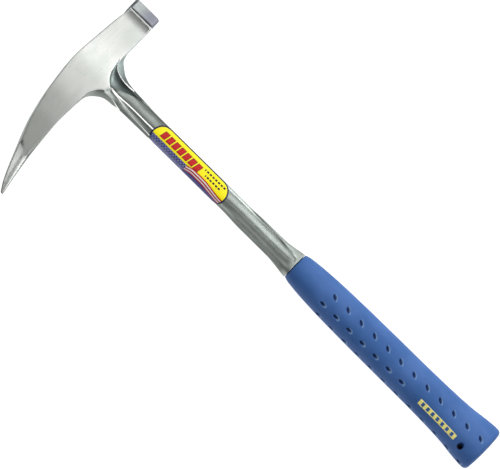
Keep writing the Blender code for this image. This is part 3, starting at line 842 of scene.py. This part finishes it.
def thin_sheet(name, rows):
    """Close a film from rows of (lower point, upper point) pairs."""
    count = len(rows[0])
    points = [pair[level] for row in rows for pair in row for level in (0, 1)]
    faces = []

    def corner(i, k, level):
        return (i * count + k) * 2 + level

    last = len(rows) - 1
    for i in range(last):
        for k in range(count - 1):
            ring = [(i, k), (i + 1, k), (i + 1, k + 1), (i, k + 1)]
            faces.append([corner(a, b, 1) for a, b in ring])
            faces.append([corner(a, b, 0) for a, b in reversed(ring)])
        for k, way in ((0, 1), (count - 1, -1)):
            wall = [corner(i, k, 0), corner(i + 1, k, 0), corner(i + 1, k, 1), corner(i, k, 1)]
            faces.append(wall[::way])
    for k in range(count - 1):
        for i, way in ((0, -1), (last, 1)):
            wall = [corner(i, k, 0), corner(i, k + 1, 0), corner(i, k + 1, 1), corner(i, k, 1)]
            faces.append(wall[::way])
    return mesh_object(name, points, faces)


def label_line(offset):
    """Line across the label, round the shank's oval from the poll side to low on the pick side."""
    middle = (LABEL_START + LABEL_END) / 2
    turn = np.linspace(*LABEL_TURNS, LABEL_TURN_STEPS + 1)
    along, up = np.cos(turn), np.sin(turn)
    half_x = np.where(along > 0, curve(NECK_POLL, middle), curve(NECK_PICK, middle))
    half_z = float(curve(SHANK_THICK, middle))
    power, lean = 2 / SHANK_SQUARENESS, SHANK_SQUARENESS - 1
    x, z = np.copysign(np.abs(along) ** power, along), np.copysign(np.abs(up) ** power, up)
    out_x = np.copysign(np.abs(x) ** lean, x) / half_x
    out_z = np.copysign(np.abs(z) ** lean, z) / half_z
    raised = offset / np.hypot(out_x, out_z)
    return np.stack([x * half_x + out_x * raised, z * half_z + out_z * raised], axis=1)


def make_label():
    """Adhesive label with round ends, its half-width and the half-length between the ends' centres."""
    lower, upper = (label_line(face) for face in LABEL_FACES)
    lengths = np.concatenate([[0.0], np.cumsum(np.hypot(*np.diff(lower, axis=0).T))])
    half = lengths[-1] / 2
    straight = (LABEL_END - LABEL_START) / 2 - half
    middle = (LABEL_START + LABEL_END) / 2
    rows, along, across = [], [], []
    for k in range(LABEL_ACROSS_STEPS + 1):
        off = -half * math.cos(math.pi * k / LABEL_ACROSS_STEPS)
        reach = straight + math.sqrt(max(half * half - off ** 2, 0.0)) + LABEL_END_MARGIN
        pair = [[np.interp(off + half, lengths, line[:, c]) for c in (0, 1)] for line in (lower, upper)]
        row = []
        for j in range(LABEL_ALONG_STEPS + 1):
            d = middle + reach * math.cos(math.pi * j / LABEL_ALONG_STEPS)
            row.append([(x, d, z) for x, z in pair])
            along += [d - middle] * 2
            across += [off] * 2
        rows.append(row)
    made = thin_sheet("printed_label", rows)
    attribute(made, "along", along)
    attribute(made, "across", across)
    return made, half, straight


def mark_grid():
    """Corner places of the mark's fine grid, and which of its cells hold foil."""
    inner, edge = MARK_HALF_WIDTH - MARK_LINE, MARK_RAIL_POINTS - 1
    rail = np.linspace(inner, MARK_HALF_WIDTH, MARK_RAIL_POINTS)
    middle = np.linspace(-inner, inner, MARK_MIDDLE_POINTS)
    across = np.concatenate([-rail[:0:-1], middle, rail[1:]])
    bands = 2 * MARK_RUNGS - 1
    along = np.linspace(MARK_START, MARK_END, bands * MARK_STEPS + 1)
    held = np.zeros((len(across) - 1, len(along) - 1), bool)
    held[:edge] = held[-edge:] = True
    for k in range(0, bands, 2):
        held[:, MARK_STEPS * k:MARK_STEPS * (k + 1)] = True
    return across, along, held


def make_mark():
    """Foil ladder on the grip, a hair proud of the vinyl."""
    across, along, held = mark_grid()
    rows, columns = held.shape
    numbers, points, faces = {}, [], []

    def corner(i, k, level):
        key = (i, k, level)
        if key not in numbers:
            turn = MARK_TURN - across[i] / float(curve(GRIP_WIDTH, along[k]))
            points.append(grip_point(along[k], turn, MARK_FACES[level])[0])
            numbers[key] = len(points) - 1
        return numbers[key]

    for i, k in np.argwhere(held).tolist():
        ring = [(i, k), (i + 1, k), (i + 1, k + 1), (i, k + 1)]
        faces.append([corner(a, b, 1) for a, b in ring])
        faces.append([corner(a, b, 0) for a, b in reversed(ring)])
        beyond = [(i, k - 1), (i + 1, k), (i, k + 1), (i - 1, k)]
        for (a, b), (i2, k2) in zip(zip(ring, ring[1:] + ring[:1]), beyond):
            if not (0 <= i2 < rows and 0 <= k2 < columns and held[i2, k2]):
                faces.append([corner(*a, 0), corner(*b, 0), corner(*b, 1), corner(*a, 1)])
    return mesh_object("foil_mark", points, faces)


# ---- materials


class Shader:
    """A Principled material under construction; its small methods add one node each."""

    def __init__(self, name):
        self.material = bpy.data.materials.new(name)
        self.material.use_nodes = True
        self.nodes = self.material.node_tree.nodes
        self.links = self.material.node_tree.links
        self.surface = self.nodes["Principled BSDF"]

    def feed(self, socket, value):
        """Link a socket to another node's output, or set its constant."""
        if hasattr(value, "is_output"):
            self.links.new(value, socket)
        else:
            socket.default_value = value

    def set(self, **values):
        """Feed the shader's own sockets, named with _ for a space."""
        for name, value in values.items():
            self.feed(self.surface.inputs[name.replace("_", " ")], value)

    def math(self, kind, a, b=0.0, c=0.0):
        node = self.nodes.new("ShaderNodeMath")
        node.operation = kind
        for socket, value in zip(node.inputs, (a, b, c)):
            self.feed(socket, value)
        return node.outputs[0]

    def attribute(self, name):
        node = self.nodes.new("ShaderNodeAttribute")
        node.attribute_name = name
        return node.outputs["Fac"]

    def places(self, scale):
        """Places on the object, scaled along each axis; at a scale of 1 a step is a millimetre."""
        place_node = self.nodes.new("ShaderNodeTexCoord")
        node = self.nodes.new("ShaderNodeMapping")
        node.inputs["Scale"].default_value = [s / MM for s in scale]
        self.links.new(place_node.outputs["Object"], node.inputs["Vector"])
        return node.outputs[0]

    def noise(self, scale, detail, rough):
        node = self.nodes.new("ShaderNodeTexNoise")
        node.inputs["Scale"].default_value = 1.0
        node.inputs["Detail"].default_value = detail
        node.inputs["Roughness"].default_value = rough
        self.links.new(self.places(scale), node.inputs["Vector"])
        return node.outputs["Fac"]

    def remap(self, value, low, high, start, end):
        node = self.nodes.new("ShaderNodeMapRange")
        node.interpolation_type = "SMOOTHSTEP"
        for socket, number in zip(node.inputs, (value, low, high, start, end)):
            self.feed(socket, number)
        return node.outputs[0]

    def below(self, value, limit):
        """1 where a value is under a limit, with a soft step."""
        return self.remap(value, limit - PRINT_SOFT, limit + PRINT_SOFT, 1.0, 0.0)

    def both(self, a, b):
        """Where both masks are 1, or the product of two values."""
        return self.math("MULTIPLY", a, b)

    def less(self, a, b):
        return self.math("SUBTRACT", a, b)

    def away(self, value, centre):
        """How far a value is from a centre, either way."""
        return self.math("ABSOLUTE", self.less(value, centre))

    def mix(self, share, first, second):
        """Blend two colours."""
        node = self.nodes.new("ShaderNodeMix")
        node.data_type = "RGBA"
        for name, value in (("Factor", share), ("A", first), ("B", second)):
            sockets = [s for s in node.inputs if s.name == name and s.type in ("VALUE", "RGBA")]
            wanted = "VALUE" if name == "Factor" else "RGBA"
            self.feed(next(s for s in sockets if s.type == wanted), value)
        return next(s for s in node.outputs if s.type == "RGBA")

    def bump(self, height, distance, strength):
        """Feed the surface's normal from a height; distance is in millimetres."""
        node = self.nodes.new("ShaderNodeBump")
        node.inputs["Strength"].default_value = strength
        node.inputs["Distance"].default_value = distance * MM
        self.links.new(height, node.inputs["Height"])
        self.links.new(node.outputs[0], self.surface.inputs["Normal"])


def rgb(red, green, blue):
    """A colour from its display values, 0 to 255."""
    levels = [v / 255 for v in (red, green, blue)]
    return tuple(v / 12.92 if v < 0.04045 else ((v + 0.055) / 1.055) ** 2.4 for v in levels) + (1.0,)


def steel_material():
    """Forged steel: ground cheeks with lengthwise scratches and painted shade, polished shank with painted
    light and shade, painted dark scoop, painted bright ridges.
    """
    m = Shader("ground_steel")
    ground, scoop, ridge = m.attribute("ground"), m.attribute("scoop"), m.attribute("ridge")
    streaks = m.noise((0.07, 1.3, 1.3), 4.0, 0.6)
    fine = m.noise((0.2, 4.5, 4.5), 3.0, 0.6)
    cloud = m.noise((0.05, 0.08, 0.08), 3.0, 0.55)
    speck = m.noise((0.5, 0.9, 0.9), 2.0, 0.5)
    peel = m.noise((0.25, 0.1, 0.25), 3.0, 0.5)
    brushed = m.mix(m.remap(streaks, 0.3, 0.7, 0.0, 1.0), rgb(216, 217, 214), rgb(226, 227, 224))
    brushed = m.mix(m.remap(cloud, 0.35, 0.7, 0.0, 0.9), brushed, rgb(204, 209, 204))
    brushed = m.mix(m.remap(speck, 0.66, 0.76, 0.0, 0.55), brushed, rgb(150, 152, 148))
    # Painted shade on the ground steel, most towards the pick, and on the point's facets.
    brushed = m.mix(m.attribute("toe"), brushed, m.mix(streaks, rgb(128, 131, 127), rgb(146, 149, 144)))
    # Painted light and shade on the polished steel: its colour scaled by the stored tone, a little teal in
    # the scoop's painted shade.
    shine = m.both(m.attribute("tone"), m.remap(peel, 0.3, 0.7, 0.9, 1.08))
    painted_sheen = m.mix(shine, rgb(0, 0, 0), m.mix(scoop, rgb(243, 253, 246), rgb(236, 255, 251)))
    # Painted highlights along the ridges, the flute's lip and the poll's land.
    painted_sheen = m.mix(m.remap(ridge, 0.5, 0.9, 0.0, 1.0), painted_sheen, rgb(250, 250, 250))
    # Poll block's lavender-grey tint with painted shade, lighter at the block's top.
    painted_sheen = m.mix(m.attribute("poll"), painted_sheen, m.mix(peel, rgb(132, 134, 144), rgb(146, 148, 158)))
    # Painted shade on the tang inside the grip and at the bottom of its pin holes.
    painted_sheen = m.mix(m.attribute("hidden"), painted_sheen, rgb(48, 48, 50))
    m.set(Base_Color=m.mix(ground, painted_sheen, brushed), Metallic=1.0)
    grit = m.math("ADD", m.both(streaks, 0.5), m.both(fine, 0.5))
    rough_ground = m.remap(grit, 0.3, 0.7, 0.36, 0.46)
    rough_plain = m.remap(cloud, 0.35, 0.7, 0.52, 0.6)
    span = m.less(rough_ground, rough_plain)
    m.set(Roughness=m.math("MULTIPLY_ADD", span, ground, rough_plain))
    waves = m.both(peel, 0.5)
    lift = m.less(grit, waves)
    m.bump(m.math("MULTIPLY_ADD", lift, ground, waves), 0.045, 0.5)
    return m.material


def vinyl_material():
    """Blue moulded vinyl with a faint grain, painted highlights on the dimples' rims and painted shade in
    the dimples.
    """
    m = Shader("blue_vinyl")
    cloud = m.noise((0.05, 0.03, 0.05), 3.0, 0.5)
    grain = m.noise((2.2, 2.2, 2.2), 3.0, 0.6)
    wave = m.noise((0.16, 0.16, 0.16), 2.0, 0.5)
    colour = m.mix(m.remap(cloud, 0.35, 0.65, 0.0, 1.0), rgb(58, 95, 153), rgb(71, 106, 165))
    colour = m.mix(m.remap(grain, 0.45, 0.75, 0.0, 0.25), colour, rgb(84, 120, 184))
    # Painted highlight on the dimples' lit rims, then painted shade inside the dimples.
    colour = m.mix(m.both(m.attribute("rim"), 0.7), colour, rgb(150, 182, 222))
    m.set(Base_Color=m.mix(m.attribute("dimple"), colour, rgb(22, 46, 92)))
    m.set(Roughness=m.remap(grain, 0.3, 0.7, 0.46, 0.58), Specular_IOR_Level=0.1)
    m.bump(m.math("ADD", m.both(grain, 0.35), wave), 0.07, 0.5)
    return m.material


def label_material(half, straight):
    """Printed film: yellow and dotted blue fields, curved bands, plain blocks and dashes, an outline."""
    m = Shader("label_film")
    along, across = m.attribute("along"), m.attribute("across")
    mottle = m.noise((1.3, 1.3, 1.3), 2.0, 0.5)
    colour = m.mix(m.remap(mottle, 0.4, 0.7, 0.0, 0.5), rgb(255, 240, 0), rgb(253, 233, 0))
    colour = print_bands(m, colour, along, across)
    colour = print_blocks(m, colour, along, across)
    colour = print_dashes(m, colour, along, across)
    past = m.math("MAXIMUM", m.less(m.math("ABSOLUTE", along), straight), 0.0)
    out = m.math("SQRT", m.math("ADD", m.both(past, past), m.both(across, across)))
    shift = m.remap(across, -half, OUTLINE_SHIFT_WIDTH - half, OUTLINE_SHIFT, 0.0)
    rim = m.less(m.less(half, out), shift)
    colour = m.mix(m.below(rim, OUTLINE_WIDTH), colour, rgb(14, 22, 60))
    m.set(Base_Color=colour, Roughness=m.remap(mottle, 0.3, 0.7, 0.45, 0.55))
    m.set(Specular_IOR_Level=0.3, Coat_Weight=0.04, Coat_Roughness=0.2)
    m.bump(mottle, 0.02, 0.4)
    return m.material


def print_bands(m, colour, along, across):
    """Blue lower side, dotted towards the head, with red and white bands curving over the other half."""
    blue, pale, red, white = rgb(34, 42, 132), rgb(215, 220, 238), rgb(*LABEL_RED), rgb(236, 236, 236)
    curved = m.math("ADD", m.remap(along, *BANDS_FALL), m.remap(along, *BANDS_RISE))
    under = m.less(m.less(across, BANDS_EDGE), curved)
    above = m.both(under, -1.0)
    banded = m.remap(along, *BANDS_START, 0.0, 1.0)
    dots = m.math("MAXIMUM", m.math("PINGPONG", m.math("ADD", along, across), DOT_PITCH / 2),
                  m.math("PINGPONG", m.less(along, across), DOT_PITCH / 2))
    field = m.mix(m.below(dots, DOT_SIZE), blue, pale)
    colour = m.mix(m.below(above, 0.0), colour, m.mix(banded, field, blue))
    for k, tint in enumerate((red, white, red, white, red)):
        start = k * BAND_WIDTH
        band = m.both(m.below(above, -start), m.below(under, start + BAND_WIDTH))
        colour = m.mix(m.both(band, banded), colour, tint)
    return colour


def print_blocks(m, colour, along, across):
    """A row of plain slanted red blocks with darker edges."""
    slanted = m.math("MULTIPLY_ADD", across, BLOCK_SLANT, m.less(along, BLOCKS_START))
    step = m.math("PINGPONG", m.less(slanted, BLOCK_PITCH / 2), BLOCK_PITCH / 2)
    tall = m.away(across, BLOCK_MIDDLE)
    reach = BLOCKS * BLOCK_PITCH / 2
    in_row = m.both(m.below(m.away(slanted, reach), reach), m.below(across, BLOCKS_STOP))
    for grow, tint in ((BLOCK_EDGE, rgb(120, 20, 20)), (0.0, rgb(*LABEL_RED))):
        block = m.both(m.below(step, BLOCK_HALF[0] + grow), m.below(tall, BLOCK_HALF[1] + grow))
        colour = m.mix(m.both(block, in_row), colour, tint)
    return colour


def print_dashes(m, colour, along, across):
    """Two rows of short black dashes."""
    dash = m.below(m.math("PINGPONG", along, DASH_PITCH / 2), DASH_HALF[0])
    for centre, reach in DASH_ROWS:
        line = m.both(dash, m.below(m.away(across, centre), DASH_HALF[1]))
        line = m.both(line, m.below(m.away(along, DASHES_MIDDLE), reach))
        colour = m.mix(line, colour, rgb(28, 26, 24))
    return colour


def foil_material():
    """Pale yellow stamped foil, a little rubbed."""
    m = Shader("stamped_foil")
    rubbed = m.noise((0.9, 0.9, 0.9), 4.0, 0.65)
    m.set(Base_Color=m.mix(m.remap(rubbed, 0.42, 0.66, 0.0, 1.0), rgb(255, 246, 150), rgb(232, 217, 112)))
    m.set(Roughness=m.remap(rubbed, 0.3, 0.7, 0.32, 0.55))
    m.bump(rubbed, 0.03, 0.4)
    return m.material


def floor_material():
    """Plain pale light table."""
    m = Shader("studio_floor")
    cloud = m.noise((0.004, 0.004, 0.004), 2.0, 0.5)
    m.set(Base_Color=m.mix(cloud, rgb(128, 128, 128), rgb(136, 136, 136)), Roughness=0.9)
    m.set(Emission_Color=rgb(255, 255, 255), Emission_Strength=FLOOR_GLOW)
    return m.material


# ---- the stage

# Floor and surround, in metres and in strengths.
FLOOR_HALF = 4.0
FLOOR_DROP = 0.0002
FLOOR_GLOW = 0.98
HORIZON_LIGHT = 0.82
OVERHEAD_LIGHT = 0.56

# Camera: turns, what it looks at and the width that it takes in, in millimetres.
CAMERA_ROLL = math.radians(20.0)
IMAGE_TURN = math.radians(45.4)
VIEW_WIDTH = 367.25
VIEW_X = -7.0
VIEW_D = 184.2
LENS = 900.0
SENSOR = 36.0


def make_floor():
    """A wide floor just under the hammer."""
    low = cad_box[0][2] - FLOOR_DROP
    corners = ((-1, -1), (1, -1), (1, 1), (-1, 1))
    mesh = bpy.data.meshes.new("floor")
    mesh.from_pydata([(x * FLOOR_HALF, y * FLOOR_HALF, low) for x, y in corners], [], [(0, 1, 2, 3)])
    made = add_object("floor", mesh)
    made.data.materials.append(floor_material())


def make_camera():
    """Nearly overhead, rolled to the pick's side, with the handle running to the lower right."""
    data = bpy.data.cameras.new("camera")
    data.lens = LENS
    data.sensor_width = SENSOR
    back = Vector((-math.sin(CAMERA_ROLL), 0.0, math.cos(CAMERA_ROLL)))
    side = Vector((math.cos(CAMERA_ROLL), 0.0, math.sin(CAMERA_ROLL)))
    along = Vector((0.0, 1.0, 0.0))
    right = side * math.cos(IMAGE_TURN) - along * math.sin(IMAGE_TURN)
    up = side * math.sin(IMAGE_TURN) + along * math.cos(IMAGE_TURN)
    distance = VIEW_WIDTH * MM * LENS / SENSOR
    turn = Matrix((right, up, back)).transposed().to_4x4()
    made = add_object("camera", data)
    made.matrix_world = Matrix.Translation(place(VIEW_X, VIEW_D, 0.0) + back * distance) @ turn
    bpy.context.scene.camera = made


def area_light(name, position, target, size, power):
    """One soft rectangular lamp aimed at a place."""
    data = bpy.data.lights.new(name, "AREA")
    data.shape = "RECTANGLE"
    data.size, data.size_y = size
    data.energy = power
    made = add_object(name, data)
    made.location = position
    made.rotation_euler = (Vector(target) - Vector(position)).to_track_quat("-Z", "Y").to_euler()


def make_world():
    """Even pale surround, a little dimmer overhead than at the horizon."""
    world = bpy.data.worlds.new("studio")
    bpy.context.scene.world = world
    world.use_nodes = True
    nodes, links = world.node_tree.nodes, world.node_tree.links
    way = nodes.new("ShaderNodeTexCoord")
    split = nodes.new("ShaderNodeSeparateXYZ")
    height = nodes.new("ShaderNodeMapRange")
    links.new(way.outputs["Generated"], split.inputs[0])
    links.new(split.outputs["Z"], height.inputs[0])
    for socket, number in zip(height.inputs[1:], (0.0, 0.8, HORIZON_LIGHT, OVERHEAD_LIGHT)):
        socket.default_value = number
    links.new(height.outputs[0], nodes["Background"].inputs["Strength"])


def make_lights():
    """Four soft lamps: two on the poll's side, one beyond the head and one beyond the butt."""
    area_light("key", (0.44, 0.14, 0.50), (0.06, 0.12, 0.0), (0.42, 0.8), 1.95)
    area_light("side", (0.46, -0.22, 0.36), (0.03, -0.08, 0.0), (0.3, 0.5), 2.4)
    area_light("back", (0.10, 0.75, 0.80), (0.0, 0.1, 0.0), (0.8, 0.5), 2.3)
    area_light("fill", (-0.05, -0.60, 0.95), (0.0, 0.0, 0.0), (0.6, 0.5), 4.4)


# ---- the object and its stage

label_piece, label_half, label_straight = make_label()
finishes = {"ground_steel": steel_material(), "blue_vinyl": vinyl_material(),
            "stamped_foil": foil_material(), "label_film": label_material(label_half, label_straight)}
pieces = [(make_forging(), "forged_body", "ground_steel"), (make_grip(), "grip", "blue_vinyl"),
          (label_piece, "shank_label", "label_film"), (make_mark(), "grip_mark", "stamped_foil")]
for piece, node, finish in pieces:
    piece.data.materials.append(finishes[finish])
    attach(piece, "root")
    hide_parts(node)

make_floor()
make_camera()
make_world()
make_lights()
bpy.context.scene.view_settings.view_transform = "Standard"
